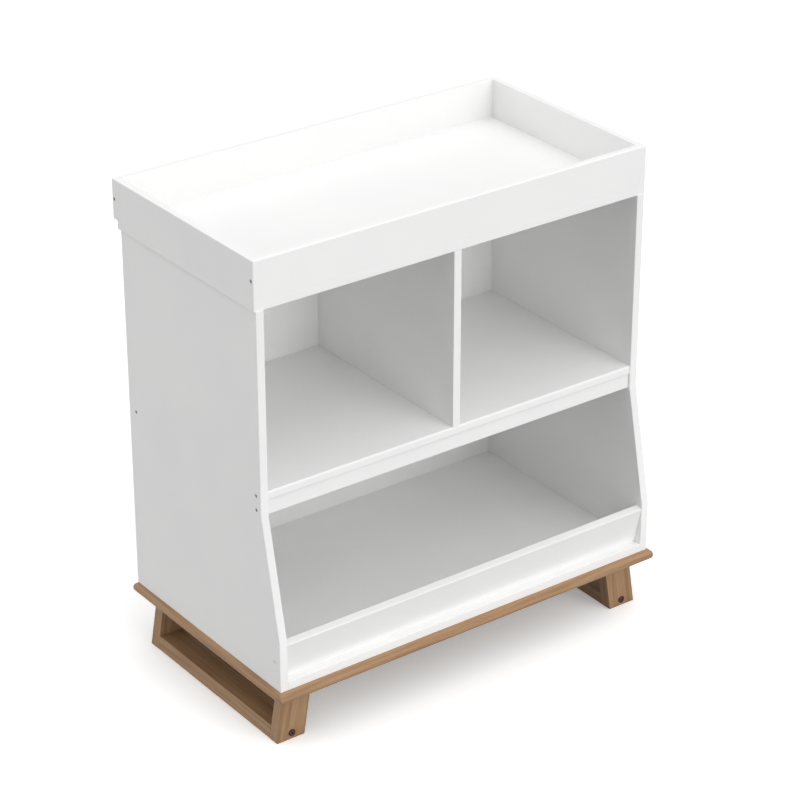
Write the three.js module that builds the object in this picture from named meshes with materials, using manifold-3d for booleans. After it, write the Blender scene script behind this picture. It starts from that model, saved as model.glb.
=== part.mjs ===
// A changing table: a white board cabinet with a changing tray on top, two open cubbies, a lower bin
// with a forward-leaning front, and a timber base of one bullnosed plate on two splayed sled frames.
//
// Units are millimetres. +Z is up, +X is to the right of someone facing the front, +Y goes to the back.
// The origin is on the floor, at the middle of the whole footprint. "left" and "right" are that viewer's.
// Depths are written from the front face of the tray, and one group shifts them all to the origin.

import * as THREE from 'three';
import { mergeVertices } from 'three/addons/utils/BufferGeometryUtils.js';
import Module from 'manifold-3d';

const wasm = await Module();
wasm.setup();

// ---------------------------------------------------------------- driving dimensions

const TOTAL_HEIGHT = 925;
const BOARD = 16; // thickness of the cabinet boards

// changing tray: a standard 813 x 406 mm pad lies inside it, and its rear wall hangs behind the top panel
const TRAY_WIDTH = 842;
const TRAY_DEPTH = 439;
const TRAY_WALL = 14;
const TRAY_WALL_HEIGHT = 76;

// cabinet
const CABINET_WIDTH = 837;
const CABINET_REAR = 419;
const UPPER_FRONT = -2; // front edge of the side panels above the shelf
const LOWER_FRONT = -50; // and beside the lower bin
const UPPER_KINK = 450; // heights where the side panels' front edge changes direction
const LOWER_KINK = 222;
const BACK_THICKNESS = 5;
const RABBET = 8; // how far the back panel sits into each side panel
const SHELF_TOP = 493;
const SHELF_FRONT = 0;
const DIVIDER_FRONT = 0;
const RAIL_FRONT = 3;
const RAIL_BOTTOM = 447.5;

// leaning rail that closes the front of the lower bin
const LIP_LEAN = THREE.MathUtils.degToRad(12.5);
const LIP_FOOT = -33; // where its front face meets the bottom panel
const LIP_FACE = 77; // height of the face, along its slope

// timber base
const PLATE_TOP = 121.5;
const PLATE_THICKNESS = 20;
const PLATE_WIDTH = 856;
const PLATE_FRONT = -62;
const PLATE_REAR = 424;
const PLATE_NOSE = 9.5; // reach of the rounded edge
const SLED_FRONT = -26.5;
const SLED_REAR = 391;
const SLED_FOOT_OUTER = 413; // outer face of a runner at the floor, from the middle of the table
const SLED_WIDTH = 59;
const SLED_LEG = 25; // thickness of a leg, front to back
const SLED_LEAN = Math.tan(THREE.MathUtils.degToRad(9.4));
const RUNNER_HEIGHT = 25.5;
const TOP_RAIL_HEIGHT = 27;

// worked out from those
const PLATE_BOTTOM = PLATE_TOP - PLATE_THICKNESS;
const TRAY_FLOOR = TOTAL_HEIGHT - TRAY_WALL_HEIGHT;
const CABINET_TOP = TRAY_FLOOR - BOARD;
const PANEL_OUTER = CABINET_WIDTH / 2;
const PANEL_INNER = PANEL_OUTER - BOARD;
const BACK_FRONT = CABINET_REAR - BACK_THICKNESS;
const SHELF_BOTTOM = SHELF_TOP - BOARD;
const BOTTOM_TOP = PLATE_TOP + BOARD;
const CENTRE_DEPTH = (PLATE_FRONT + TRAY_DEPTH) / 2;
const FIT = 0.3; // clearance around every fastener
const PAST = 1; // how far a cutter runs past the face it starts from

// ---------------------------------------------------------------- materials

const whiteBoard = new THREE.MeshStandardMaterial({ color: '#f4f4f3', roughness: 0.45, metalness: 0 });
const driftwood = new THREE.MeshStandardMaterial({ color: '#a68360', roughness: 0.6, metalness: 0 });
const dowelWood = new THREE.MeshStandardMaterial({ color: '#d9bf94', roughness: 0.7, metalness: 0 });
const zincSteel = new THREE.MeshStandardMaterial({ color: '#a9abad', roughness: 0.35, metalness: 1 });
const bronzeSteel = new THREE.MeshStandardMaterial({ color: '#3b2a2c', roughness: 0.4, metalness: 1 });

// ---------------------------------------------------------------- shapes

const X_AXIS = new THREE.Vector3(1, 0, 0);
const Y_AXIS = new THREE.Vector3(0, 1, 0);
const Z_AXIS = new THREE.Vector3(0, 0, 1);

const table = new THREE.Group();
const cabinet = new THREE.Group();
cabinet.position.y = -CENTRE_DEPTH;
table.add(cabinet);

function addMesh(name, geometry, material, parent = cabinet) {
  const mesh = new THREE.Mesh(geometry, material);
  mesh.name = name;
  parent.add(mesh);
  return mesh;
}

// a closed three.js geometry as a solid that can be cut
function toSolid(geometry) {
  const bare = geometry.clone();
  bare.deleteAttribute('normal');
  bare.deleteAttribute('uv');
  const merged = mergeVertices(bare, 1e-4);
  return new wasm.Manifold(new wasm.Mesh({
    numProp: 3,
    vertProperties: new Float32Array(merged.attributes.position.array),
    triVerts: new Uint32Array(merged.index.array),
  }));
}

function toGeometry(solid) {
  const mesh = solid.getMesh();
  const geometry = new THREE.BufferGeometry();
  geometry.setAttribute('position', new THREE.BufferAttribute(new Float32Array(mesh.vertProperties), 3));
  geometry.setIndex(new THREE.BufferAttribute(new Uint32Array(mesh.triVerts), 1));
  geometry.computeVertexNormals();
  return geometry;
}

function cut(geometry, cutters) {
  let solid = toSolid(geometry);
  for (const cutter of cutters) solid = solid.subtract(toSolid(cutter));
  return toGeometry(solid);
}

// a box given by its two corners
function block(low, high) {
  const size = high.map((value, i) => value - low[i]);
  const geometry = new THREE.BoxGeometry(...size);
  return geometry.translate(...low.map((value, i) => value + size[i] / 2));
}

// an outline of [depth, height] points, as thick as from x0 to x1
function sideways(outline, x0, x1) {
  const shape = new THREE.Shape(outline.map(([depth, height]) => new THREE.Vector2(depth, height)));
  const geometry = new THREE.ExtrudeGeometry(shape, { depth: x1 - x0, bevelEnabled: false });
  const turn = new THREE.Matrix4().makeBasis(Y_AXIS, Z_AXIS, X_AXIS);
  return geometry.applyMatrix4(turn).translate(x0, 0, 0);
}

// an outline of [x, height] points, as deep as from y0 to y1
function frontways(outline, y0, y1) {
  const shape = new THREE.Shape(outline.map(([x, height]) => new THREE.Vector2(x, height)));
  const geometry = new THREE.ExtrudeGeometry(shape, { depth: y1 - y0, bevelEnabled: false });
  const turn = new THREE.Matrix4().makeBasis(X_AXIS, Z_AXIS, Y_AXIS.clone().negate());
  return geometry.applyMatrix4(turn).translate(0, y1, 0);
}

// a turned piece: [radius, distance] points of its outline, along a direction from a place
function turned(outline, place, direction, segments) {
  const points = outline.map(([radius, along]) => new THREE.Vector2(radius, along));
  const geometry = new THREE.LatheGeometry(points, segments);
  const turn = new THREE.Quaternion().setFromUnitVectors(Y_AXIS, direction);
  return geometry.applyQuaternion(turn).translate(...place);
}

// ---------------------------------------------------------------- fasteners

const SCREW_SIDES = 10;
const HEAD_SIDES = 16;
const SOCKET_SIDES = 6;

// a countersunk cabinet screw: the head's face is just below the board's face
const SCREW = { head: 3.5, headDepth: 2.5, sunk: 0.5, shank: 2.25, tip: 0.8, taper: 4 };
const SCREW_LENGTH = { tray: 42, panel: 50, plate: 55, sled: 42 };

function screwOutline(length) {
  const under = SCREW.sunk + SCREW.headDepth;
  return [
    [0, SCREW.sunk], [SCREW.head, SCREW.sunk], [SCREW.head, under],
    [SCREW.shank, under], [SCREW.shank, length - SCREW.taper], [SCREW.tip, length], [0, length],
  ];
}

function screwHoleOutline(length) {
  const under = SCREW.sunk + SCREW.headDepth;
  return [
    [0, -PAST], [SCREW.head + FIT, -PAST], [SCREW.head + FIT, under],
    [SCREW.shank + FIT, under], [SCREW.shank + FIT, length + FIT], [0, length + FIT],
  ];
}

// a furniture bolt: a wide flat head with a hexagon socket, on a plain shank
const BOLT = {
  head: 7, headHeight: 2, chamfer: 0.6, shank: 3, length: SLED_LEG + 35, socket: 2.6, socketDepth: 1.6,
};

function boltOutline() {
  return [
    [0, -BOLT.headHeight], [BOLT.head - BOLT.chamfer, -BOLT.headHeight],
    [BOLT.head, -BOLT.headHeight + BOLT.chamfer],
    [BOLT.head, 0], [BOLT.shank, 0], [BOLT.shank, BOLT.length], [0, BOLT.length],
  ];
}

function plainOutline(radius, from, to) {
  return [[0, from], [radius, from], [radius, to], [0, to]];
}

// the bolt's cross nut: it stands in a pocket bored up into the runner, this far behind the leg
const NUT = { radius: 5, bottom: 2, length: 19, pocket: 21, setback: 25 };

// wooden dowels, with a little room left above each one
const DOWEL = { length: 30, thin: 3, thick: 4, room: 1 };

// where the fasteners stand, as depths from the tray's front face: the front one and the rear one
const SHELF_SCREWS = [12, 397];
const PLATE_SCREWS = [20, 350];
const SLED_SCREWS = [60, 305];
const TRAY_DOWELS = [70, 350];
const PANEL_DOWELS = [120, 300];
const DIVIDER_DOWELS = 200;
const RAIL_SCREW_RISE = 10; // above the lower edge of the shelf rail

// every fastener: its place (middle of the face it goes in at), direction and length, and its hole
const screws = [];
const bolts = [];
const dowels = [];
const barrelNuts = [];

function hole(fastener) {
  const { outline, place, direction } = fastener.hole;
  return turned(outline, place, direction, SCREW_SIDES);
}

function addScrew(name, place, direction, length) {
  const screw = { name, place, direction, length };
  screw.hole = { outline: screwHoleOutline(length), place, direction };
  screws.push(screw);
  return screw;
}

// a dowel joins two boards, one on the other; its low end rests on the floor of its hole
function addDowel(name, place, radius) {
  const dowel = { name, place, radius };
  const outline = plainOutline(radius + FIT, 0, DOWEL.length + DOWEL.room);
  dowel.hole = { outline, place, direction: Z_AXIS };
  dowels.push(dowel);
  return dowel;
}

const SIDES = [['left', -1], ['right', 1]];
const ENDS = ['front', 'rear'];

// tray corners: one screw through each end of each side wall
const traySideScrews = {};
// side panels into the shelf, the shelf rail and the leaning rail
const panelScrews = {};
// up through the base plate into the side panels, and up through the sleds into the plate
const plateScrews = {};
const sledScrews = {};
// hidden dowels between tray walls, top panel and side panels
const trayDowels = {};
const panelDowels = {};

const lipMiddle = {
  depth: LIP_FOOT - (LIP_FACE / 2) * Math.sin(LIP_LEAN) + (BOARD / 2) * Math.cos(LIP_LEAN),
  height: BOTTOM_TOP + (LIP_FACE / 2) * Math.cos(LIP_LEAN) + (BOARD / 2) * Math.sin(LIP_LEAN),
};
const sledTop = (SLED_FOOT_OUTER - SLED_WIDTH / 2) - (PLATE_BOTTOM - TOP_RAIL_HEIGHT / 2) * SLED_LEAN;

for (const [side, sign] of SIDES) {
  const inward = X_AXIS.clone().multiplyScalar(-sign);
  const trayHeight = TRAY_FLOOR + TRAY_WALL_HEIGHT / 2;
  traySideScrews[side] = [TRAY_WALL / 2, TRAY_DEPTH - TRAY_WALL / 2].map((depth, i) => addScrew(
    `tray_screw_${side}_${ENDS[i]}`, [sign * TRAY_WIDTH / 2, depth, trayHeight], inward, SCREW_LENGTH.tray));

  const panelFace = sign * PANEL_OUTER;
  const fromSide = (name, depth, height) => addScrew(
    name, [panelFace, depth, height], inward, SCREW_LENGTH.panel);
  panelScrews[side] = [
    fromSide(`shelf_screw_${side}_front`, SHELF_SCREWS[0], SHELF_TOP - BOARD / 2),
    fromSide(`shelf_screw_${side}_rear`, SHELF_SCREWS[1], SHELF_TOP - BOARD / 2),
    fromSide(`shelf_rail_screw_${side}`, SHELF_SCREWS[0], RAIL_BOTTOM + RAIL_SCREW_RISE),
    fromSide(`lip_rail_screw_${side}`, lipMiddle.depth, lipMiddle.height),
  ];
  const panelMiddle = sign * (PANEL_OUTER - BOARD / 2);
  plateScrews[side] = PLATE_SCREWS.map((depth, i) => addScrew(
    `plate_screw_${side}_${ENDS[i]}`, [panelMiddle, depth, PLATE_BOTTOM], Z_AXIS, SCREW_LENGTH.plate));
  sledScrews[side] = SLED_SCREWS.map((depth, i) => addScrew(
    `sled_screw_${side}_${ENDS[i]}`, [sign * sledTop, depth, PLATE_BOTTOM - TOP_RAIL_HEIGHT], Z_AXIS,
    SCREW_LENGTH.sled));

  const wallMiddle = sign * (TRAY_WIDTH - TRAY_WALL) / 2;
  trayDowels[side] = TRAY_DOWELS.map((depth, i) => addDowel(
    `tray_dowel_${side}_${ENDS[i]}`, [wallMiddle, depth, TRAY_FLOOR - DOWEL.length / 3], DOWEL.thin));
  panelDowels[side] = PANEL_DOWELS.map((depth, i) => addDowel(
    `panel_dowel_${side}_${ENDS[i]}`, [panelMiddle, depth, CABINET_TOP - DOWEL.length * 2 / 3], DOWEL.thick));
}
const dividerDowels = [
  addDowel('divider_dowel_top', [0, DIVIDER_DOWELS, CABINET_TOP - DOWEL.length * 2 / 3], DOWEL.thick),
  addDowel('divider_dowel_bottom', [0, DIVIDER_DOWELS, SHELF_TOP - DOWEL.length / 3], DOWEL.thick),
];

// ---------------------------------------------------------------- tray

function addTray() {
  const half = TRAY_WIDTH / 2;
  for (const [side, sign] of SIDES) {
    const xs = [sign * half, sign * (half - TRAY_WALL)].sort((a, b) => a - b);
    const wall = block([xs[0], 0, TRAY_FLOOR], [xs[1], TRAY_DEPTH, TOTAL_HEIGHT]);
    const holes = [...traySideScrews[side], ...trayDowels[side]].map(hole);
    addMesh(`tray_${side}_wall`, cut(wall, holes), whiteBoard);
  }
  const inner = half - TRAY_WALL;
  const across = { front: [0, TRAY_WALL], back: [TRAY_DEPTH - TRAY_WALL, TRAY_DEPTH] };
  for (const [name, [y0, y1]] of Object.entries(across)) {
    const wall = block([-inner, y0, TRAY_FLOOR], [inner, y1, TOTAL_HEIGHT]);
    const index = name === 'front' ? 0 : 1;
    const holes = SIDES.map(([side]) => hole(traySideScrews[side][index]));
    addMesh(`tray_${name}_wall`, cut(wall, holes), whiteBoard);
  }
}

// ---------------------------------------------------------------- cabinet

function addSidePanels() {
  const outline = [
    [UPPER_FRONT, CABINET_TOP], [UPPER_FRONT, UPPER_KINK], [LOWER_FRONT, LOWER_KINK],
    [LOWER_FRONT, PLATE_TOP], [CABINET_REAR, PLATE_TOP], [CABINET_REAR, CABINET_TOP],
  ];
  for (const [side, sign] of SIDES) {
    const xs = [sign * PANEL_OUTER, sign * PANEL_INNER].sort((a, b) => a - b);
    const rabbetXs = [sign * (PANEL_INNER - PAST), sign * (PANEL_INNER + RABBET)].sort((a, b) => a - b);
    const rabbet = block(
      [rabbetXs[0], BACK_FRONT, PLATE_TOP - PAST], [rabbetXs[1], CABINET_REAR + PAST, CABINET_TOP + PAST]);
    const holes = [...panelScrews[side], ...plateScrews[side], ...panelDowels[side]].map(hole);
    addMesh(`${side}_side_panel`, cut(sideways(outline, ...xs), [rabbet, ...holes]), whiteBoard);
  }
}

function addLevels() {
  const x = PANEL_INNER;
  const topHalf = TRAY_WIDTH / 2;
  const top = block([-topHalf, 0, CABINET_TOP], [topHalf, TRAY_DEPTH - TRAY_WALL, TRAY_FLOOR]);
  const topHoles = [...trayDowels.left, ...trayDowels.right, ...panelDowels.left, ...panelDowels.right,
    dividerDowels[0]];
  addMesh('top_panel', cut(top, topHoles.map(hole)), whiteBoard);

  const shelf = block([-x, SHELF_FRONT, SHELF_BOTTOM], [x, BACK_FRONT, SHELF_TOP]);
  const shelfHoles = SIDES.flatMap(([side]) => panelScrews[side].slice(0, 2));
  addMesh('middle_shelf', cut(shelf, [...shelfHoles, dividerDowels[1]].map(hole)), whiteBoard);

  const divider = block([-BOARD / 2, DIVIDER_FRONT, SHELF_TOP], [BOARD / 2, BACK_FRONT, CABINET_TOP]);
  addMesh('center_divider', cut(divider, dividerDowels.map(hole)), whiteBoard);

  const rail = block([-x, RAIL_FRONT, RAIL_BOTTOM], [x, RAIL_FRONT + BOARD, SHELF_BOTTOM]);
  addMesh('shelf_front_rail', cut(rail, SIDES.map(([side]) => hole(panelScrews[side][2]))), whiteBoard);

  addMesh('bottom_panel', block([-x, LOWER_FRONT, PLATE_TOP], [x, BACK_FRONT, BOTTOM_TOP]), whiteBoard);

  const back = PANEL_INNER + RABBET;
  addMesh('back_panel', block([-back, BACK_FRONT, PLATE_TOP], [back, CABINET_REAR, CABINET_TOP]), whiteBoard);
}

// the front face leans out at the top; the foot is cut level to stand on the bottom panel
function addLipRail() {
  const lean = [Math.sin(LIP_LEAN), Math.cos(LIP_LEAN)];
  const frontTop = [LIP_FOOT - LIP_FACE * lean[0], BOTTOM_TOP + LIP_FACE * lean[1]];
  const rearTop = [frontTop[0] + BOARD * lean[1], frontTop[1] + BOARD * lean[0]];
  const outline = [[LIP_FOOT, BOTTOM_TOP], frontTop, rearTop, [LIP_FOOT + BOARD / lean[1], BOTTOM_TOP]];
  const rail = sideways(outline.reverse(), -PANEL_INNER, PANEL_INNER);
  addMesh('front_lip_rail', cut(rail, SIDES.map(([side]) => hole(panelScrews[side][3]))), whiteBoard);
}

// ---------------------------------------------------------------- base

// the plate's four edges are half round
function addBasePlate() {
  const x = PLATE_WIDTH / 2 - PLATE_NOSE;
  const y0 = PLATE_FRONT + PLATE_NOSE;
  const y1 = PLATE_REAR - PLATE_NOSE;
  const shape = new THREE.Shape([[-x, y0], [x, y0], [x, y1], [-x, y1]].map((p) => new THREE.Vector2(...p)));
  const straight = PLATE_THICKNESS - 2 * PLATE_NOSE;
  const plate = new THREE.ExtrudeGeometry(shape, {
    depth: straight, bevelSize: PLATE_NOSE, bevelThickness: PLATE_NOSE, bevelSegments: 5,
  });
  plate.translate(0, 0, PLATE_BOTTOM + PLATE_NOSE);
  const holes = SIDES.flatMap(([side]) => [...plateScrews[side], ...sledScrews[side]]).map(hole);
  addMesh('base_plate', cut(plate, holes), driftwood);
}

// the slice of a leaning sled between two heights, as [x, height] points
function sledSlice(sign, z0, z1) {
  const outer = (z) => SLED_FOOT_OUTER - z * SLED_LEAN;
  const inner = (z) => outer(z) - SLED_WIDTH;
  const points = [[outer(z0), z0], [outer(z1), z1], [inner(z1), z1], [inner(z0), z0]];
  const placed = points.map(([x, z]) => [sign * x, z]);
  return sign > 0 ? placed : placed.reverse();
}

const BOLT_HEIGHT = RUNNER_HEIGHT / 2;
const boltHoleOutline = plainOutline(BOLT.shank + FIT, -PAST, BOLT.length + FIT);
const nutHoleOutline = plainOutline(NUT.radius + FIT, -PAST, NUT.pocket);

function addSleds() {
  const y0 = SLED_FRONT + SLED_LEG;
  const y1 = SLED_REAR - SLED_LEG;
  for (const [side, sign] of SIDES) {
    const boltX = sign * (SLED_FOOT_OUTER - SLED_WIDTH / 2 - BOLT_HEIGHT * SLED_LEAN);
    const ends = [
      { end: 'front', face: SLED_FRONT, back: 1, leg: [SLED_FRONT, y0] },
      { end: 'rear', face: SLED_REAR, back: -1, leg: [y1, SLED_REAR] },
    ];
    const boltHoles = [];
    const nutHoles = [];
    for (const { end, face, back } of ends) {
      const into = Y_AXIS.clone().multiplyScalar(back);
      const place = [boltX, face, BOLT_HEIGHT];
      bolts.push({ name: `foot_bolt_${side}_${end}`, place, direction: into });
      boltHoles.push(turned(boltHoleOutline, place, into, SCREW_SIDES));
      const nut = [boltX, face + back * (SLED_LEG + NUT.setback), NUT.bottom];
      barrelNuts.push({ name: `barrel_nut_${side}_${end}`, place: nut, boltPlace: place, into });
      nutHoles.push(turned(nutHoleOutline, [nut[0], nut[1], 0], Z_AXIS, HEAD_SIDES));
    }
    for (const { end, leg } of ends) {
      const slice = frontways(sledSlice(sign, 0, PLATE_BOTTOM), ...leg);
      addMesh(`${side}_${end}_leg`, cut(slice, boltHoles), driftwood);
    }
    const runner = frontways(sledSlice(sign, 0, RUNNER_HEIGHT), y0, y1);
    addMesh(`${side}_runner`, cut(runner, [...boltHoles, ...nutHoles]), driftwood);
    const rail = frontways(sledSlice(sign, PLATE_BOTTOM - TOP_RAIL_HEIGHT, PLATE_BOTTOM), y0, y1);
    addMesh(`${side}_sled_rail`, cut(rail, sledScrews[side].map(hole)), driftwood);
  }
}

// ---------------------------------------------------------------- hardware

const socketOutline = plainOutline(
  BOLT.socket, -BOLT.headHeight - PAST, -BOLT.headHeight + BOLT.socketDepth);

function addFasteners() {
  for (const { name, place, direction, length } of screws) {
    addMesh(name, turned(screwOutline(length), place, direction, SCREW_SIDES), zincSteel);
  }
  for (const { name, place, direction } of bolts) {
    const bolt = turned(boltOutline(), place, direction, HEAD_SIDES);
    const socket = turned(socketOutline, place, direction, SOCKET_SIDES);
    addMesh(name, cut(bolt, [socket]), bronzeSteel);
  }
  for (const { name, place, boltPlace, into } of barrelNuts) {
    const nut = turned(plainOutline(NUT.radius, 0, NUT.length), place, Z_AXIS, HEAD_SIDES);
    const thread = turned(boltHoleOutline, boltPlace, into, SCREW_SIDES);
    addMesh(name, cut(nut, [thread]), zincSteel);
  }
  for (const { name, place, radius } of dowels) {
    addMesh(name, turned(plainOutline(radius, 0, DOWEL.length), place, Z_AXIS, SCREW_SIDES), dowelWood);
  }
}

addTray();
addSidePanels();
addLevels();
addLipRail();
addBasePlate();
addSleds();
addFasteners();

export default table;
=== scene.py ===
"""A white changing table on a driftwood-stained sled base, ready to render.

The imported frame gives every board, leg and fastener its place and size. This script makes each of them again
as the joiner would finish it: boards with eased edges and drilled holes, threaded screws and bolts with
hexagon sockets, fluted dowels, and a timber base whose grain follows each piece. Lengths here are metres
unless a name says millimetres.
"""

import math

import bmesh
import bpy
from mathutils import Matrix, Vector


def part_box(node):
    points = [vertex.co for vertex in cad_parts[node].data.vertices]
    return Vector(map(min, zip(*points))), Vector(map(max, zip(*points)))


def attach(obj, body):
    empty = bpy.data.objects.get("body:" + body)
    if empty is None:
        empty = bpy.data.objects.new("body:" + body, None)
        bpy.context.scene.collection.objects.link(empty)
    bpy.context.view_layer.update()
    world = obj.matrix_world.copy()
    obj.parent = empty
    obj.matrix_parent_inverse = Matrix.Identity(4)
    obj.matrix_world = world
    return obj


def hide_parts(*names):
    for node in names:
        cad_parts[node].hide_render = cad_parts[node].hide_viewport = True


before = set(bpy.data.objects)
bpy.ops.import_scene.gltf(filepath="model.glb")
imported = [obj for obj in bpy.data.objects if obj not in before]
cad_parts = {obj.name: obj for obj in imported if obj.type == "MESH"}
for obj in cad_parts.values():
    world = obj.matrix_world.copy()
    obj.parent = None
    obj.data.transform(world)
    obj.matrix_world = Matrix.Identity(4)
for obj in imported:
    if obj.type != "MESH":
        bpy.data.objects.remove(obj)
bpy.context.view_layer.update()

MM = 0.001
SIDES = (("left", -1), ("right", 1))
ENDS = (("front", 1), ("rear", -1))
X, Y, Z = Vector((1, 0, 0)), Vector((0, 1, 0)), Vector((0, 0, 1))


# ---------------------------------------------------------------- materials

def linear(hex_colour):
    """An sRGB hex colour as the linear RGBA that a shader takes."""
    parts = [int(hex_colour[i:i + 2], 16) / 255 for i in (1, 3, 5)]
    return [c / 12.92 if c <= 0.04045 else ((c + 0.055) / 1.055) ** 2.4 for c in parts] + [1.0]


def per(size_mm):
    """The texture scale whose pattern repeats about every size_mm millimetres."""
    return 1 / (size_mm * MM)


def add_node(tree, kind, values=None, links=None, stops=None, **settings):
    """Adds a node with its settings, its fixed socket values, its links and, on a ramp, its colour stops."""
    node = tree.nodes.new(kind)
    for name, value in settings.items():
        setattr(node, name, value)
    for socket, value in (values or {}).items():
        node.inputs[socket].default_value = value
    for socket, source in (links or {}).items():
        tree.links.new(source, node.inputs[socket])
    if stops:
        elements = node.color_ramp.elements
        while len(elements) < len(stops):
            elements.new(0.5)
        for element, (place, colour) in zip(elements, stops):
            element.position = place
            element.color = linear(colour)
    return node


def new_material(name):
    """An empty node material and its surface shader."""
    material = bpy.data.materials.new(name)
    material.use_nodes = True
    tree = material.node_tree
    tree.nodes.clear()
    shader = add_node(tree, "ShaderNodeBsdfPrincipled")
    add_node(tree, "ShaderNodeOutputMaterial", links={"Surface": shader.outputs["BSDF"]})
    return material, tree, shader


def sprayed_white_lacquer():
    """Satin polyurethane lacquer sprayed on MDF: a clean neutral white, a soft sheen with no mirror image,
    and the faint orange peel that a spray gun leaves, which only makes the sheen slightly uneven."""
    peel_mm, cloud_mm = 2.2, 160
    material, tree, shader = new_material("sprayed_white_lacquer")
    place = add_node(tree, "ShaderNodeTexCoord").outputs["Object"]
    cloud = add_node(tree, "ShaderNodeTexNoise", {"Scale": per(cloud_mm), "Detail": 3.0}, {"Vector": place})
    colour = add_node(tree, "ShaderNodeValToRGB", links={"Fac": cloud.outputs["Fac"]},
                      stops=[(0.3, "#F1F1F1"), (0.7, "#F4F4F3")])
    peel = add_node(tree, "ShaderNodeTexNoise", {"Scale": per(peel_mm), "Detail": 2.0, "Roughness": 0.45},
                    {"Vector": place})
    sheen = add_node(tree, "ShaderNodeMapRange", {"To Min": 0.42, "To Max": 0.54},
                     {"Value": peel.outputs["Fac"]})
    bump = add_node(tree, "ShaderNodeBump", {"Strength": 0.25, "Distance": 0.02 * MM},
                    {"Height": peel.outputs["Fac"]})
    shader.inputs["IOR"].default_value = 1.5
    tree.links.new(colour.outputs["Color"], shader.inputs["Base Color"])
    tree.links.new(sheen.outputs["Result"], shader.inputs["Roughness"])
    tree.links.new(bump.outputs["Normal"], shader.inputs["Normal"])
    return material


def driftwood_stained_poplar():
    """Planed poplar with a wiped grey-brown stain under matt varnish: soft growth rings, long streaks where
    the stain took unevenly, and fine dark pores. It reads each piece's own timber coordinates, metres with X
    along the grain, so the streaks run down every piece and its ends show the rings."""
    ring_mm, streak_mm, pore_mm = 8.0, 7.0, 0.8
    streak_length, pore_length = 26, 14
    material, tree, shader = new_material("driftwood_stained_poplar")
    timber = add_node(tree, "ShaderNodeAttribute", attribute_name="timber").outputs["Vector"]

    # the rings wander along the length of the board
    sway = add_node(tree, "ShaderNodeTexNoise", {"Scale": per(90), "Detail": 2.0}, {"Vector": timber})
    centred = add_node(tree, "ShaderNodeVectorMath", {1: (0.5, 0.5, 0.5)}, {0: sway.outputs["Color"]},
                       operation="SUBTRACT")
    swayed = add_node(tree, "ShaderNodeVectorMath", {1: (0.016, 0.016, 0.016)},
                      {0: centred.outputs["Vector"], 2: timber}, operation="MULTIPLY_ADD")
    rings = add_node(tree, "ShaderNodeTexWave", {"Scale": 0.314 * per(ring_mm), "Distortion": 1.2,
                                                 "Detail": 2.0, "Detail Scale": 1.5},
                     {"Vector": swayed.outputs["Vector"]}, wave_type="RINGS", rings_direction="X",
                     wave_profile="SAW")

    long_grain = add_node(tree, "ShaderNodeMapping", {"Scale": (1 / streak_length, 1.0, 1.0)},
                          {"Vector": timber})
    streaks = add_node(tree, "ShaderNodeTexNoise", {"Scale": per(streak_mm), "Detail": 3.0, "Roughness": 0.5},
                       {"Vector": long_grain.outputs["Vector"]})
    pore_grain = add_node(tree, "ShaderNodeMapping", {"Scale": (1 / pore_length, 1.0, 1.0)},
                          {"Vector": timber})
    pores = add_node(tree, "ShaderNodeTexNoise", {"Scale": per(pore_mm), "Detail": 2.0, "Roughness": 0.7},
                     {"Vector": pore_grain.outputs["Vector"]})

    stain = add_node(tree, "ShaderNodeValToRGB", links={"Fac": streaks.outputs["Fac"]},
                     stops=[(0.3, "#906C4A"), (0.45, "#A07B56"), (0.6, "#AB8762"), (0.76, "#A68D70")])
    latewood = add_node(tree, "ShaderNodeMapRange", {"To Min": 1.02, "To Max": 0.92},
                        {"Value": rings.outputs["Fac"]})
    ringed = add_node(tree, "ShaderNodeVectorMath", links={0: stain.outputs["Color"],
                                                           "Scale": latewood.outputs["Result"]},
                      operation="SCALE")
    pored = add_node(tree, "ShaderNodeMapRange", {"From Min": 0.3, "From Max": 0.52, "To Min": 0.82,
                                                  "To Max": 1.0}, {"Value": pores.outputs["Fac"]})
    colour = add_node(tree, "ShaderNodeVectorMath", links={0: ringed.outputs["Vector"],
                                                           "Scale": pored.outputs["Result"]},
                      operation="SCALE")
    matt = add_node(tree, "ShaderNodeMapRange", {"To Min": 0.44, "To Max": 0.62},
                    {"Value": streaks.outputs["Fac"]})
    relief = add_node(tree, "ShaderNodeMath", {1: 0.35}, {0: rings.outputs["Fac"], 2: pores.outputs["Fac"]},
                      operation="MULTIPLY_ADD")
    bump = add_node(tree, "ShaderNodeBump", {"Strength": 0.5, "Distance": 0.08 * MM},
                    {"Height": relief.outputs["Value"]})
    shader.inputs["IOR"].default_value = 1.5
    tree.links.new(colour.outputs["Vector"], shader.inputs["Base Color"])
    tree.links.new(matt.outputs["Result"], shader.inputs["Roughness"])
    tree.links.new(bump.outputs["Normal"], shader.inputs["Normal"])
    return material


def turned_beech():
    """Unfinished beech, turned and fluted for dowels: pale, with short reddish flecks along the rod."""
    material, tree, shader = new_material("turned_beech")
    timber = add_node(tree, "ShaderNodeAttribute", attribute_name="timber").outputs["Vector"]
    drawn_out = add_node(tree, "ShaderNodeMapping", {"Scale": (1 / 8, 1.0, 1.0)}, {"Vector": timber})
    flecks = add_node(tree, "ShaderNodeTexNoise", {"Scale": per(0.6), "Detail": 3.0},
                      {"Vector": drawn_out.outputs["Vector"]})
    colour = add_node(tree, "ShaderNodeValToRGB", links={"Fac": flecks.outputs["Fac"]},
                      stops=[(0.3, "#B98F62"), (0.5, "#D9BC90"), (0.75, "#E2C9A2")])
    bump = add_node(tree, "ShaderNodeBump", {"Strength": 0.6, "Distance": 0.05 * MM},
                    {"Height": flecks.outputs["Fac"]})
    shader.inputs["Roughness"].default_value = 0.7
    tree.links.new(colour.outputs["Color"], shader.inputs["Base Color"])
    tree.links.new(bump.outputs["Normal"], shader.inputs["Normal"])
    return material


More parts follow.
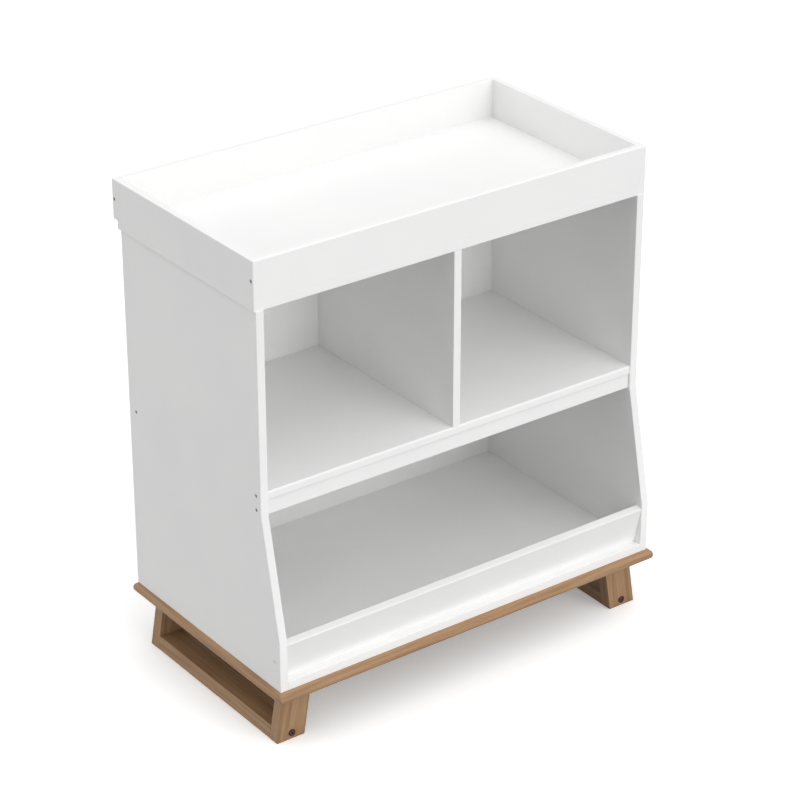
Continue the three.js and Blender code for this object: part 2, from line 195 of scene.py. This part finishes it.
def plated_steel(name, bright, dull, smooth, rough):
    """Plated steel: a thin metal coat whose colour and gloss vary where the plating bath was uneven."""
    material, tree, shader = new_material(name)
    place = add_node(tree, "ShaderNodeTexCoord").outputs["Object"]
    blotches = add_node(tree, "ShaderNodeTexNoise", {"Scale": per(1.6), "Detail": 4.0}, {"Vector": place})
    colour = add_node(tree, "ShaderNodeValToRGB", links={"Fac": blotches.outputs["Fac"]},
                      stops=[(0.35, dull), (0.65, bright)])
    gloss = add_node(tree, "ShaderNodeMapRange", {"To Min": smooth, "To Max": rough},
                     {"Value": blotches.outputs["Fac"]})
    bump = add_node(tree, "ShaderNodeBump", {"Strength": 0.2, "Distance": 0.02 * MM},
                    {"Height": blotches.outputs["Fac"]})
    shader.inputs["Metallic"].default_value = 1.0
    tree.links.new(colour.outputs["Color"], shader.inputs["Base Color"])
    tree.links.new(gloss.outputs["Result"], shader.inputs["Roughness"])
    tree.links.new(bump.outputs["Normal"], shader.inputs["Normal"])
    return material


LACQUER = sprayed_white_lacquer()
DRIFTWOOD = driftwood_stained_poplar()
BEECH = turned_beech()
# zinc plating is blue-grey and half dull; antique bronze plating is near black with a red-brown cast
ZINC = plated_steel("zinc_plated_steel", "#B0B4B9", "#888C92", 0.3, 0.5)
BRONZE = plated_steel("antique_bronze_steel", "#6A4A4B", "#3A282B", 0.28, 0.45)


# ---------------------------------------------------------------- making pieces

FACES = {"left": -X, "right": X, "front": -Y, "rear": Y, "bottom": -Z, "top": Z}


def face_name(normal):
    """The side of the table that a face looks to."""
    return max(FACES, key=lambda name: FACES[name].dot(normal))


def link_object(name, mesh):
    obj = bpy.data.objects.new(name, mesh)
    bpy.context.scene.collection.objects.link(obj)
    return obj


def settle(obj):
    """Applies the modifiers of obj, so that its mesh is the finished shape."""
    evaluated = obj.evaluated_get(bpy.context.evaluated_depsgraph_get())
    mesh = bpy.data.meshes.new_from_object(evaluated)
    obj.modifiers.clear()
    obj.data = mesh


def prism(name, outline, extrude):
    """A solid with a flat outline, a list of points, pushed along the vector extrude."""
    bm = bmesh.new()
    base = bm.faces.new([bm.verts.new(p) for p in outline])
    pushed = bmesh.ops.extrude_face_region(bm, geom=[base])
    far_end = [v for v in pushed["geom"] if isinstance(v, bmesh.types.BMVert)]
    bmesh.ops.translate(bm, vec=extrude, verts=far_end)
    bmesh.ops.recalc_face_normals(bm, faces=bm.faces)
    mesh = bpy.data.meshes.new(name)
    bm.to_mesh(mesh)
    bm.free()
    return link_object(name, mesh)


def ease_edges(obj, widths, crisp, segments):
    """Rounds every edge of obj. widths gives millimetres for the edges between two named sides, and crisp
    gives them for the rest."""
    widest = max([crisp, *widths.values()])
    bm = bmesh.new()
    bm.from_mesh(obj.data)
    weight = bm.edges.layers.float.new("bevel_weight_edge")
    for edge in bm.edges:
        sides = {face_name(f.normal) for f in edge.link_faces}
        width = next((w for pair, w in widths.items() if set(pair.split()) == sides), crisp)
        edge[weight] = width / widest if len(sides) == 2 else 0
    bm.to_mesh(obj.data)
    bm.free()
    bevel = obj.modifiers.new("ease", "BEVEL")
    bevel.limit_method, bevel.width, bevel.segments = "WEIGHT", widest * MM, segments
    bevel.offset_type, bevel.miter_outer = "OFFSET", "MITER_ARC"
    settle(obj)


def cylinder_cutter(name, radius, start, end, sides):
    """A bar from start to end that a hole is cut with. A hexagon bar stands on a corner."""
    along = end - start
    bm = bmesh.new()
    turn = Z.rotation_difference(along).to_matrix().to_4x4()
    bmesh.ops.create_cone(bm, cap_ends=True, segments=sides, radius1=radius, radius2=radius,
                          depth=along.length, matrix=Matrix.Translation((start + end) / 2) @ turn)
    mesh = bpy.data.meshes.new(name)
    bm.to_mesh(mesh)
    bm.free()
    return link_object(name, mesh)


def bore(obj, bars):
    """Cuts each (radius, start, end, sides) bar out of obj."""
    for radius, start, end, sides in bars:
        cutter = cylinder_cutter("cutter", radius, start, end, sides)
        cut = obj.modifiers.new("bore", "BOOLEAN")
        cut.operation, cut.solver, cut.object = "DIFFERENCE", "EXACT", cutter
        settle(obj)
        bpy.data.objects.remove(cutter)


def finish_piece(obj, node, material):
    """Shades obj, gives it its material, and lets it stand for its CAD node."""
    mesh = obj.data
    mesh.materials.clear()
    mesh.materials.append(material)
    mesh.polygons.foreach_set("use_smooth", [True] * len(mesh.polygons))
    mesh.set_sharp_from_angle(angle=math.radians(38))
    weighted = obj.modifiers.new("flat_faces", "WEIGHTED_NORMAL")
    weighted.keep_sharp = True
    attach(obj, "root")
    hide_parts(node)


def write_timber(obj, grain, offset):
    """Gives each corner of each face its place in the plank the piece was sawn from: X along the grain, Y
    across and Z through. grain(face) says which way the grain runs there."""
    mesh = obj.data
    attribute = mesh.attributes.new("timber", "FLOAT_VECTOR", "CORNER")
    for face in mesh.polygons:
        along = grain(face).normalized()
        across = along.orthogonal().normalized()
        through = along.cross(across)
        for corner in face.loop_indices:
            point = mesh.vertices[mesh.loops[corner].vertex_index].co
            place = Vector([point.dot(axis) for axis in (along, across, through)])
            attribute.data[corner].vector = place + offset


# ---------------------------------------------------------------- fasteners: places and holes

FIT = 0.3 * MM  # room between a fastener and its hole
HEAD_DEPTH = 3.0 * MM  # from a board's face to the underside of a countersunk head
SHANK = 2.25 * MM
SMALL_ROUND, LARGE_ROUND, HEXAGON = 20, 32, 6  # sides of a shank, of a head and of a key's socket


class Fastener:
    """One screw, bolt, nut or dowel: the middle of its head end, the way it points, its length and radius."""

    def __init__(self, node, into):
        low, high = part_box(node)
        middle, size = (low + high) / 2, high - low
        self.node, self.into = node, into
        self.length = abs(size.dot(into))
        self.radius = max(abs(size.dot(side)) for side in (X, Y, Z) if abs(side.dot(into)) < 0.5) / 2
        self.start = middle - into * self.length / 2

    def at(self, distance):
        return self.start + self.into * distance


def inward(sign):
    return X * -sign


SIDE_SCREWS = [Fastener(f"{kind}_{side}{end}", inward(sign)) for side, sign in SIDES
               for kind, ends in (("tray_screw", ("_front", "_rear")), ("shelf_screw", ("_front", "_rear")),
                                  ("shelf_rail_screw", ("",)), ("lip_rail_screw", ("",))) for end in ends]
BASE_SCREWS = [Fastener(f"{kind}_{side}_{end}", Z) for kind in ("plate_screw", "sled_screw")
               for side, _ in SIDES for end, _ in ENDS]
BOLTS = [Fastener(f"foot_bolt_{side}_{end}", Y * back) for side, _ in SIDES for end, back in ENDS]
NUTS = [Fastener(f"barrel_nut_{side}_{end}", Z) for side, _ in SIDES for end, _ in ENDS]
DOWELS = [Fastener(f"{kind}_{side}_{end}", Z) for kind in ("tray_dowel", "panel_dowel")
          for side, _ in SIDES for end, _ in ENDS]
DOWELS += [Fastener(f"divider_dowel_{end}", Z) for end in ("top", "bottom")]

SUNK = 0.5 * MM  # a screw's head lies this far below the face
PAST = 1.0 * MM  # how far a cutter starts outside the face
BOLT_HEAD = 2.0 * MM
BOLT_SHANK = 3.0 * MM
NUT_RISE = 2.0 * MM  # from a runner's underside to a barrel nut


def holes_for(fastener):
    """The bars that drill one fastener's hole through whatever it passes."""
    if fastener in SIDE_SCREWS or fastener in BASE_SCREWS:
        mouth, seat, end = (fastener.at(d) for d in (-SUNK - PAST, HEAD_DEPTH - SUNK, fastener.length + FIT))
        return [(fastener.radius + FIT, mouth, seat, LARGE_ROUND), (SHANK + FIT, mouth, end, SMALL_ROUND)]
    if fastener in BOLTS:
        return [(BOLT_SHANK + FIT, fastener.at(-PAST), fastener.at(fastener.length + FIT), SMALL_ROUND)]
    if fastener in NUTS:
        start, end = fastener.at(-NUT_RISE - 2 * PAST), fastener.at(fastener.length)
        return [(fastener.radius + FIT, start, end, LARGE_ROUND)]
    return [(fastener.radius + FIT, fastener.at(0), fastener.at(fastener.length + PAST), SMALL_ROUND)]


def drilled_by(node):
    """The holes of every fastener that passes through a board."""
    low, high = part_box(node)
    found = []
    for fastener in SIDE_SCREWS + BASE_SCREWS + BOLTS + NUTS + DOWELS:
        tip, head = fastener.at(fastener.length), fastener.at(0)
        reach = [(min(a, b) - fastener.radius, max(a, b) + fastener.radius) for a, b in zip(tip, head)]
        if all(reach[i][0] < high[i] and reach[i][1] > low[i] for i in range(3)):
            found += holes_for(fastener)
    return found


# ---------------------------------------------------------------- the white cabinet

OUTER, INNER, CRISP = 2.0, 0.8, 0.25  # edge rounding in millimetres: outside corners, inside edges and joints


def rectangle(node):
    """A board's outline on its underside and its height, from its CAD box."""
    low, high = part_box(node)
    corners = [(low.x, low.y), (high.x, low.y), (high.x, high.y), (low.x, high.y)]
    return [Vector((x, y, low.z)) for x, y in corners], Z * (high.z - low.z)


def lacquered(node, widths, outline=None, extrude=None):
    """A lacquered board: its outline, eased edges and drilled holes."""
    if outline is None:
        outline, extrude = rectangle(node)
    board = prism(node + "_board", outline, extrude)
    ease_edges(board, widths, CRISP, 3)
    bore(board, drilled_by(node))
    finish_piece(board, node, LACQUER)


def make_tray():
    for side, other in (("left", "right"), ("right", "left")):
        lacquered(f"tray_{side}_wall", {
            f"{side} top": OUTER, f"{side} front": OUTER, f"{side} rear": OUTER, "front top": OUTER,
            "rear top": OUTER, f"{other} top": INNER})
    lacquered("tray_front_wall", {"front top": OUTER, "rear top": INNER})
    lacquered("tray_back_wall", {"rear top": OUTER, "front top": INNER, "rear bottom": INNER})
    lacquered("top_panel", {"left front": OUTER, "right front": OUTER, "front bottom": INNER,
                            "left bottom": INNER, "right bottom": INNER})


# heights where a side panel's front edge changes direction, and how far back the upper part stands
UPPER_KINK, LOWER_KINK = 450 * MM, 222 * MM
UPPER_SETBACK = 48 * MM
RABBET, BACK_THICKNESS = 8 * MM, 5 * MM


def make_side_panels():
    for side, sign in SIDES:
        node = f"{side}_side_panel"
        low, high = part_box(node)
        profile = [(low.y + UPPER_SETBACK, high.z), (low.y + UPPER_SETBACK, UPPER_KINK), (low.y, LOWER_KINK),
                   (low.y, low.z), (high.y, low.z), (high.y, high.z)]
        outline = [Vector((low.x, y, z)) for y, z in profile]
        board = prism(node + "_board", outline, X * (high.x - low.x))
        ease_edges(board, {"left front": 1.5, "right front": 1.5, f"{side} rear": INNER}, CRISP, 3)
        cut_rabbet(board, low, high, sign)
        bore(board, drilled_by(node))
        finish_piece(board, node, LACQUER)


def cut_rabbet(board, low, high, sign):
    """The step along the rear inner edge of a side panel that the back panel lies in."""
    inner = low.x if sign > 0 else high.x
    xs = (inner - sign * PAST, inner + sign * RABBET)
    y0, y1 = high.y - BACK_THICKNESS, high.y + PAST
    outline = [Vector((x, y, low.z - PAST)) for x, y in ((xs[0], y0), (xs[1], y0), (xs[1], y1), (xs[0], y1))]
    cutter = prism("rabbet_cutter", outline, Z * (high.z - low.z + 2 * PAST))
    cut = board.modifiers.new("rabbet", "BOOLEAN")
    cut.operation, cut.solver, cut.object = "DIFFERENCE", "EXACT", cutter
    settle(board)
    bpy.data.objects.remove(cutter)


def make_levels():
    lacquered("middle_shelf", {"front top": 3.0, "front bottom": 1.5})
    lacquered("shelf_front_rail", {"front top": INNER, "front bottom": 1.2, "rear bottom": INNER})
    lacquered("center_divider", {"left front": 1.2, "right front": 1.2})
    lacquered("bottom_panel", {"front top": INNER})
    lacquered("back_panel", {})


LIP_LEAN = math.radians(12.5)
BOARD = 16 * MM


def make_lip_rail():
    """The bin's front rail leans out at the top and is cut level where it stands."""
    node = "front_lip_rail"
    low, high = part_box(node)
    foot = high.y - BOARD / math.cos(LIP_LEAN)
    up = high.z - low.z - BOARD * math.sin(LIP_LEAN)
    front_top = (foot - up * math.tan(LIP_LEAN), low.z + up)
    rear_top = (front_top[0] + BOARD * math.cos(LIP_LEAN), high.z)
    profile = [(foot, low.z), front_top, rear_top, (high.y, low.z)]
    outline = [Vector((low.x, y, z)) for y, z in profile]
    lacquered(node, {"front top": 1.5, "rear top": 1.5}, outline, X * (high.x - low.x))


# ---------------------------------------------------------------- the timber base

SLED_LEAN = math.tan(math.radians(9.4))
SLED_WIDTH = 59 * MM
PLATE_NOSE = 9.5  # millimetres of rounding on the plate's edges
PITH = Vector((0.0, 0.06, -0.09))  # how far the middle of the tree lies from the first board


def make_base_plate():
    node = "base_plate"
    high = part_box(node)[1]
    outline, extrude = rectangle(node)
    plate = prism("base_plate_timber", outline, extrude)
    around = ("left", "right", "front", "rear")
    ease_edges(plate, {f"{side} {face}": PLATE_NOSE for side in around for face in ("top", "bottom")}, 3.0, 8)
    bore(plate, drilled_by(node))
    # the plate's ends are lipped, so the grain runs along their edges too
    write_timber(plate, lambda face: Y if abs(face.center.x) > high.x - PLATE_NOSE * MM else X, PITH)
    finish_piece(plate, node, DRIFTWOOD)


def make_sleds():
    """Each sled is two legs, a runner and a top rail, all leaning the same way."""
    foot_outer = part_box("right_runner")[1].x
    count = 0
    for side, sign in SIDES:
        other = "right" if side == "left" else "left"
        lean = Vector((-sign * SLED_LEAN, 0, 1))
        upright = {f"{side} front": 1.2, f"{other} front": 1.2, f"{side} rear": 1.2, f"{other} rear": 1.2}
        level = {f"{a} {b}": 0.8 for a in ("left", "right") for b in ("top", "bottom")}
        for piece, grain, widths in (("front_leg", lean, upright), ("rear_leg", lean, upright),
                                     ("runner", Y, level), ("sled_rail", Y, level)):
            node = f"{side}_{piece}"
            low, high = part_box(node)
            edge = [(sign * (foot_outer - z * SLED_LEAN), z) for z in (low.z, high.z)]
            inner = [(x - sign * SLED_WIDTH, z) for x, z in reversed(edge)]
            outline = [Vector((x, low.y, z)) for x, z in edge + inner]
            timber = prism(node + "_timber", outline, Y * (high.y - low.y))
            ease_edges(timber, widths, 0.25, 3)
            bore(timber, drilled_by(node))
            count += 1
            plank = PITH + Vector((0.31 * count, 0.013 * count, 0.007 * count))
            write_timber(timber, lambda face: grain, plank)
            finish_piece(timber, node, DRIFTWOOD)


# ---------------------------------------------------------------- fasteners

def revolve(fastener, name, heights, sides, radius_at):
    """A turned rod: radius_at(distance, turn) gives its radius, with turn from 0 to 1 round the rod."""
    turn = Z.rotation_difference(fastener.into).to_matrix()
    bm = bmesh.new()
    rings = []
    for distance in heights:
        ring = []
        for i in range(sides):
            angle = math.tau * i / sides
            radius = radius_at(distance, i / sides)
            local = Vector((radius * math.cos(angle), radius * math.sin(angle), distance))
            ring.append(bm.verts.new(fastener.start + turn @ local))
        rings.append(ring)
    for below, above in zip(rings, rings[1:]):
        for i in range(sides):
            j = (i + 1) % sides
            bm.faces.new((below[i], below[j], above[j], above[i]))
    bm.faces.new(list(reversed(rings[0])))
    bm.faces.new(rings[-1])
    bmesh.ops.recalc_face_normals(bm, faces=bm.faces)
    mesh = bpy.data.meshes.new(name)
    bm.to_mesh(mesh)
    bm.free()
    return link_object(name, mesh)


def steps(start, end, step):
    """Distances from start to end, about step apart."""
    count = max(1, round((end - start) / step))
    return [start + (end - start) * i / count for i in range(count + 1)]


def thread(distance, turn, pitch, depth):
    """How far a V thread stands out of the core here."""
    phase = (distance / pitch - turn) % 1
    return depth * (1 - abs(2 * phase - 1))


def make_screw(screw):
    """A countersunk cabinet screw: flat head with a hexagon socket, coarse thread and a tapered tip."""
    head, ease, rim = HEAD_DEPTH - SUNK, 0.25 * MM, 0.8 * MM
    neck, neck_radius, pitch, core = 2 * MM, 2.0 * MM, 2.6 * MM, 1.45 * MM
    taper, narrowing = 4 * MM, 0.65
    tip = screw.length - taper
    socket, socket_depth = 2.1 * MM, 2.0 * MM

    def radius_at(distance, turn):
        if distance <= ease:
            return screw.radius - ease + distance
        if distance <= rim:
            return screw.radius
        if distance <= head:
            return screw.radius + (SHANK - screw.radius) * (distance - rim) / (head - rim)
        if distance <= head + neck:
            return neck_radius
        radius = core + thread(distance, turn, pitch, SHANK - core)
        if distance > tip:
            radius *= 1 - narrowing * (distance - tip) / taper
        return radius

    heights = [0, ease, rim, head, head + neck]
    heights += steps(head + neck, screw.length, pitch / 4)[1:]
    rod = revolve(screw, screw.node + "_steel", heights, 16, radius_at)
    bore(rod, [(socket, screw.at(-PAST), screw.at(socket_depth), HEXAGON)])
    # the leaning rail's screws take the white lacquer, so their heads show white
    finish_piece(rod, screw.node, LACQUER if "lip_rail" in screw.node else ZINC)


def make_bolt(bolt):
    """A furniture bolt: a wide flat head with a rounded rim and a hexagon socket, and a fine thread."""
    pitch, core, plain_shank, slack = 1.0 * MM, 2.45 * MM, 22 * MM, 0.1 * MM
    socket, socket_depth = 2.3 * MM, 1.7 * MM
    rim = [0, 0.12 * MM, 0.35 * MM, 0.7 * MM]
    inset = [0.9 * MM, 0.45 * MM, 0.14 * MM, 0]

    def radius_at(distance, turn):
        for height, step in zip(rim, inset):
            if distance <= height + 1e-7:
                return bolt.radius - step
        if distance <= BOLT_HEAD:
            return bolt.radius
        if distance <= BOLT_HEAD + plain_shank:
            return BOLT_SHANK - slack
        return core + thread(distance, turn, pitch, BOLT_SHANK - core)

    heights = rim + [BOLT_HEAD, BOLT_HEAD + 1e-6, BOLT_HEAD + plain_shank]
    heights += steps(BOLT_HEAD + plain_shank, bolt.length, pitch / 4)[1:]
    rod = revolve(bolt, bolt.node + "_steel", heights, LARGE_ROUND, radius_at)
    bore(rod, [(socket, bolt.at(-PAST), bolt.at(socket_depth), HEXAGON)])
    finish_piece(rod, bolt.node, BRONZE)


def make_nut(nut, bolt):
    """A barrel nut: a chamfered steel cylinder with a cross hole."""
    chamfer = 0.5 * MM

    def radius_at(distance, turn):
        edge = min(distance, nut.length - distance)
        return nut.radius - max(0, chamfer - edge)

    heights = [0, chamfer, nut.length - chamfer, nut.length]
    barrel = revolve(nut, nut.node + "_steel", heights, LARGE_ROUND, radius_at)
    bore(barrel, [(BOLT_SHANK + FIT, bolt.at(0), bolt.at(bolt.length + FIT), LARGE_ROUND)])
    finish_piece(barrel, nut.node, ZINC)


def make_dowel(dowel):
    """A beech dowel with pressed flutes, which let the glue escape, and chamfered ends."""
    chamfer, flutes, flute_depth = 1.0 * MM, 12, 0.25 * MM

    def radius_at(distance, turn):
        edge = min(distance, dowel.length - distance)
        flute = flute_depth * (0.5 + 0.5 * math.cos(math.tau * flutes * turn))
        return dowel.radius - flute - max(0, chamfer - edge) * 0.7

    heights = [0, chamfer, dowel.length - chamfer, dowel.length]
    rod = revolve(dowel, dowel.node + "_beech", heights, 4 * flutes, radius_at)
    write_timber(rod, lambda face: Z, PITH)
    finish_piece(rod, dowel.node, BEECH)


# ---------------------------------------------------------------- the stage

def stage_piece(name, points, faces, material):
    """A sheet of the stage, which isn't part of the table."""
    mesh = bpy.data.meshes.new(name)
    mesh.from_pydata(points, [], faces)
    mesh.materials.append(material)
    sheet = link_object(name, mesh)
    return sheet


def backlit_white_sweep():
    """Matt white acrylic lit from behind: near white all over, with a glow that keeps its shadows light."""
    material, tree, shader = new_material("backlit_white_sweep")
    place = add_node(tree, "ShaderNodeTexCoord").outputs["Object"]
    tone = add_node(tree, "ShaderNodeTexNoise", {"Scale": per(400), "Detail": 2.0}, {"Vector": place})
    colour = add_node(tree, "ShaderNodeValToRGB", links={"Fac": tone.outputs["Fac"]},
                      stops=[(0.3, "#FDFDFD"), (0.7, "#FFFFFF")])
    shader.inputs["Roughness"].default_value = 0.9
    shader.inputs["Specular IOR Level"].default_value = 0.0
    shader.inputs["Emission Color"].default_value = linear("#FFFFFF")
    shader.inputs["Emission Strength"].default_value = 0.22
    tree.links.new(colour.outputs["Color"], shader.inputs["Base Color"])
    return material


def black_felt():
    """Black felt that soaks up light: fibres too fine to see leave it very slightly uneven."""
    material, tree, shader = new_material("black_felt")
    place = add_node(tree, "ShaderNodeTexCoord").outputs["Object"]
    fibres = add_node(tree, "ShaderNodeTexNoise", {"Scale": per(3), "Detail": 4.0}, {"Vector": place})
    colour = add_node(tree, "ShaderNodeValToRGB", links={"Fac": fibres.outputs["Fac"]},
                      stops=[(0.3, "#070707"), (0.7, "#121212")])
    shader.inputs["Roughness"].default_value = 1.0
    shader.inputs["Specular IOR Level"].default_value = 0.0
    tree.links.new(colour.outputs["Color"], shader.inputs["Base Color"])
    return material


def flat(low, high, height):
    """The corners of a level rectangle."""
    corners = ((low.x, low.y), (high.x, low.y), (high.x, high.y), (low.x, high.y))
    return [(x, y, height) for x, y in corners]


def make_sweep():
    """A pale sweep: a floor and, far off all round, a wall. Diffuse and shadow rays pass through both, so they
    neither light nor shade the table, but the floor shows in its reflections. A felt card under the floor
    keeps the hollow of the base dark."""
    acrylic, reach, height, panels = backlit_white_sweep(), 14.0, 12.0, 48
    corner = Vector((reach, reach, 0))
    floor = stage_piece("studio_floor", flat(-corner, corner, 0), [(0, 1, 2, 3)], acrylic)
    turns = [math.tau * i / panels for i in range(panels)]
    rings = [(reach * math.cos(turn), reach * math.sin(turn), z) for z in (0, height) for turn in turns]
    quads = [(i, i + panels, (i + 1) % panels + panels, (i + 1) % panels) for i in range(panels)]
    wall = stage_piece("sweep_wall", rings, quads, acrylic)
    wall.data.polygons.foreach_set("use_smooth", [True] * panels)
    wall.visible_glossy = False
    for part in (floor, wall):
        part.visible_diffuse = part.visible_shadow = False
    card = flat(*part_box("base_plate"), -2 * MM)
    stage_piece("underside_card", card, [(0, 1, 2, 3)], black_felt())


def toward(azimuth, elevation):
    """The direction of something seen at azimuth degrees to the left of the front, elevation degrees up."""
    a, e = math.radians(azimuth), math.radians(elevation)
    return Vector((-math.sin(a) * math.cos(e), -math.cos(a) * math.cos(e), math.sin(e)))


# the studio's soft lights, set to match the photograph's tones rather than any real studio: degrees to the
# left of the front, degrees up, radiance, and how tightly they glow
SOFTBOXES = {
    "overhead": (0, 90, 1.36, 6),
    "high front key": (-10, 50, 1.1, 13),
    "front key": (-18.9, 31.2, 1.28, 13.5),
    "front wall": (-5, 8, 2.3, 20),
    "low front fill": (0, -8, 0.76, 20),
    "left rear strip": (126.6, 8.8, 1.8, 16),
    "left wall": (95, 10, 0.18, 16),
    "rear wall": (180, 30, 0.25, 10),
}
ROOM_LIGHT = 0.46


def make_studio():
    """A dim even room, darker toward the floor, with soft round glows where the studio's lights are."""
    world = bpy.data.worlds.new("soft_studio")
    bpy.context.scene.world = world
    world.use_nodes = True
    tree = world.node_tree
    view = add_node(tree, "ShaderNodeTexCoord").outputs["Generated"]
    height = add_node(tree, "ShaderNodeSeparateXYZ", links={"Vector": view}).outputs["Z"]
    light = add_node(tree, "ShaderNodeMapRange", {"From Min": -0.7, "From Max": 0.0, "To Min": ROOM_LIGHT / 4,
                                                  "To Max": ROOM_LIGHT}, {"Value": height}).outputs["Result"]
    for azimuth, elevation, radiance, tightness in SOFTBOXES.values():
        facing = add_node(tree, "ShaderNodeVectorMath", {1: toward(azimuth, elevation)}, {0: view},
                          operation="DOT_PRODUCT")
        lit = add_node(tree, "ShaderNodeMath", {1: 0.0}, {0: facing.outputs["Value"]}, operation="MAXIMUM")
        glow = add_node(tree, "ShaderNodeMath", {1: tightness}, {0: lit.outputs["Value"]}, operation="POWER")
        light = add_node(tree, "ShaderNodeMath", {1: radiance}, {0: glow.outputs["Value"], 2: light},
                         operation="MULTIPLY_ADD").outputs["Value"]
    background = tree.nodes["Background"]
    background.inputs["Color"].default_value = linear("#FFFFFF")
    tree.links.new(light, background.inputs["Strength"])


AIM = Vector((0.0004, -0.020, 0.4758))
VIEW = (36.48, 27.11)  # degrees to the left of the front and degrees up
DISTANCE = 5.0866
LENS_MM, SENSOR_MM = 126.26, 36


def make_camera():
    """A long lens from the front left, looking down on the tray."""
    camera = bpy.data.cameras.new("camera")
    camera.lens, camera.sensor_width = LENS_MM, SENSOR_MM
    camera.clip_start, camera.clip_end = 0.1, 60
    eye = link_object("camera", camera)
    back = toward(*VIEW)
    eye.location = AIM + back * DISTANCE
    eye.rotation_mode = "QUATERNION"
    eye.rotation_quaternion = back.to_track_quat("Z", "Y")
    bpy.context.scene.camera = eye


make_tray()
make_side_panels()
make_levels()
make_lip_rail()
make_base_plate()
make_sleds()
for fastener in SIDE_SCREWS + BASE_SCREWS:
    make_screw(fastener)
for bolt, nut in zip(BOLTS, NUTS):
    make_bolt(bolt)
    make_nut(nut, bolt)
for fastener in DOWELS:
    make_dowel(fastener)
make_sweep()
make_studio()
make_camera()
bpy.context.scene.view_settings.view_transform = "Standard"
